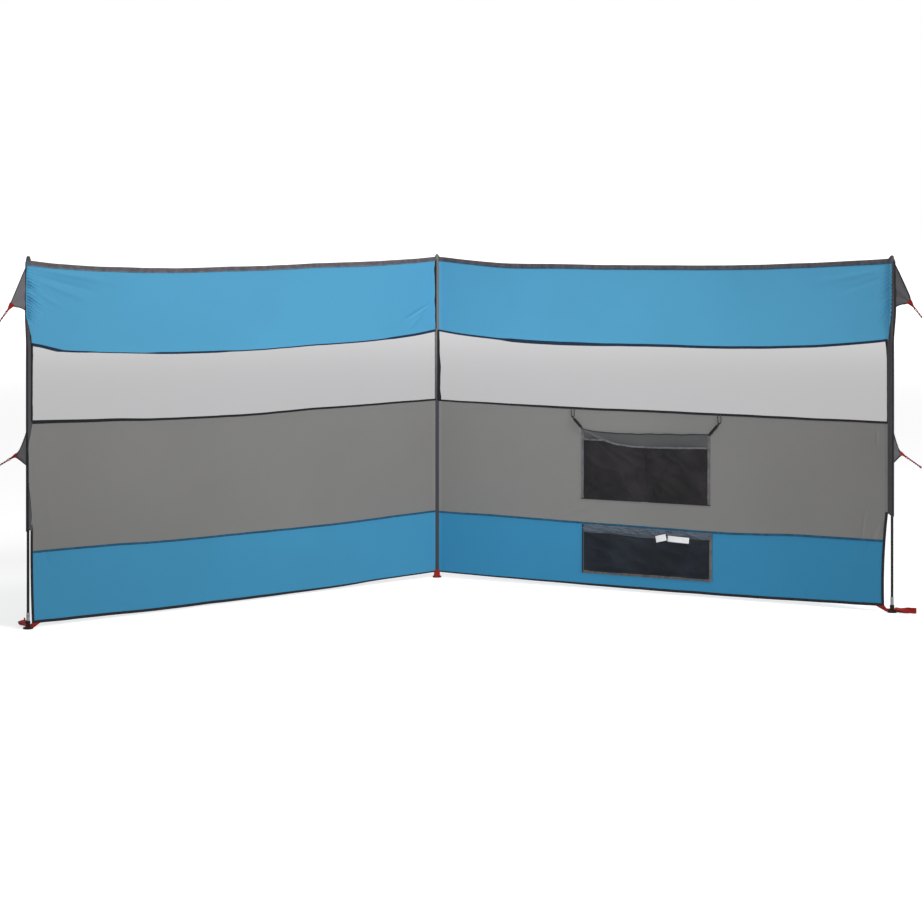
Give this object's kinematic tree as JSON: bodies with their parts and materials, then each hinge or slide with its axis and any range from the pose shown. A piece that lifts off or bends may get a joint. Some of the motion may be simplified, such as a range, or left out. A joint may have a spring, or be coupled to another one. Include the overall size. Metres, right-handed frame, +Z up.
{
  "type": "beach windbreak",
  "caption": "V-shaped beach windbreak: striped fabric bays with a window band between poles, guyed ends, net pockets and webbing foot straps.",
  "frame": {"origin": "on the ground under the middle of the centre pole foot", "axes": "+X across the open V to the right, +Z up, the V opens towards -Y"},
  "size_m": [6.0972, 2.0418, 1.58],
  "materials": {
    "blue_cloth": "woven polyester, matt with a soft sheen",
    "grey_cloth": "woven polyester, matt",
    "window_film": "translucent frosted film",
    "dark_cloth": "dark grey woven cloth of the sleeves, gussets and pocket backing",
    "binding_tape": "ribbed edging tape",
    "net": "fine knitted net",
    "pale_tape": "pale grey woven tape",
    "red_webbing": "red woven webbing",
    "line": "braided guy line, grey flecked with dark red",
    "pole_black": "black satin pole",
    "bright_metal": "bright ferrule and peg metal",
    "black_plastic": "moulded black plastic",
    "tag_white": "blank white satin tag"
  },
  "bodies": {
    "root": {"left_top_strip": "blue_cloth", "left_window_strip": "window_film", "left_middle_strip": "grey_cloth", "left_bottom_strip": "blue_cloth", "left_top_binding": "dark_cloth", "left_bottom_binding": "binding_tape", "left_edge_binding": "binding_tape", "left_seam_tapes": "binding_tape", "left_sleeve": "dark_cloth", "left_foot_strap": "red_webbing", "left_pole": "pole_black", "left_foot": "black_plastic", "left_upper_gusset": "dark_cloth", "left_upper_guy": "line", "left_lower_gusset": "dark_cloth", "left_lower_guy": "line", "right_top_strip": "blue_cloth", "right_window_strip": "window_film", "right_middle_strip": "grey_cloth", "right_bottom_strip": "blue_cloth", "right_top_binding": "dark_cloth", "right_bottom_binding": "binding_tape", "right_edge_binding": "binding_tape", "right_seam_tapes": "binding_tape", "right_sleeve": "dark_cloth", "right_foot_strap": "red_webbing", "right_pole": "pole_black", "right_foot": "black_plastic", "right_upper_gusset": "dark_cloth", "right_upper_guy": "line", "right_lower_gusset": "dark_cloth", "right_lower_guy": "line", "centre_pole": "pole_black", "centre_foot": "black_plastic", "centre_sleeve": "dark_cloth", "centre_foot_strap": "red_webbing", "pole_ferrules": "bright_metal", "guy_tabs": "red_webbing", "guy_sliders": "black_plastic", "guy_pegs": "bright_metal", "pocket_backing": "dark_cloth", "pocket_net": "net", "pocket_hem": "pale_tape", "pocket_loops": "binding_tape", "pocket_elastics": "black_plastic", "low_pocket_backing": "dark_cloth", "low_pocket_net": "net", "low_pocket_frame": "binding_tape", "care_tags": "tag_white"}
  },
  "joints": []
}
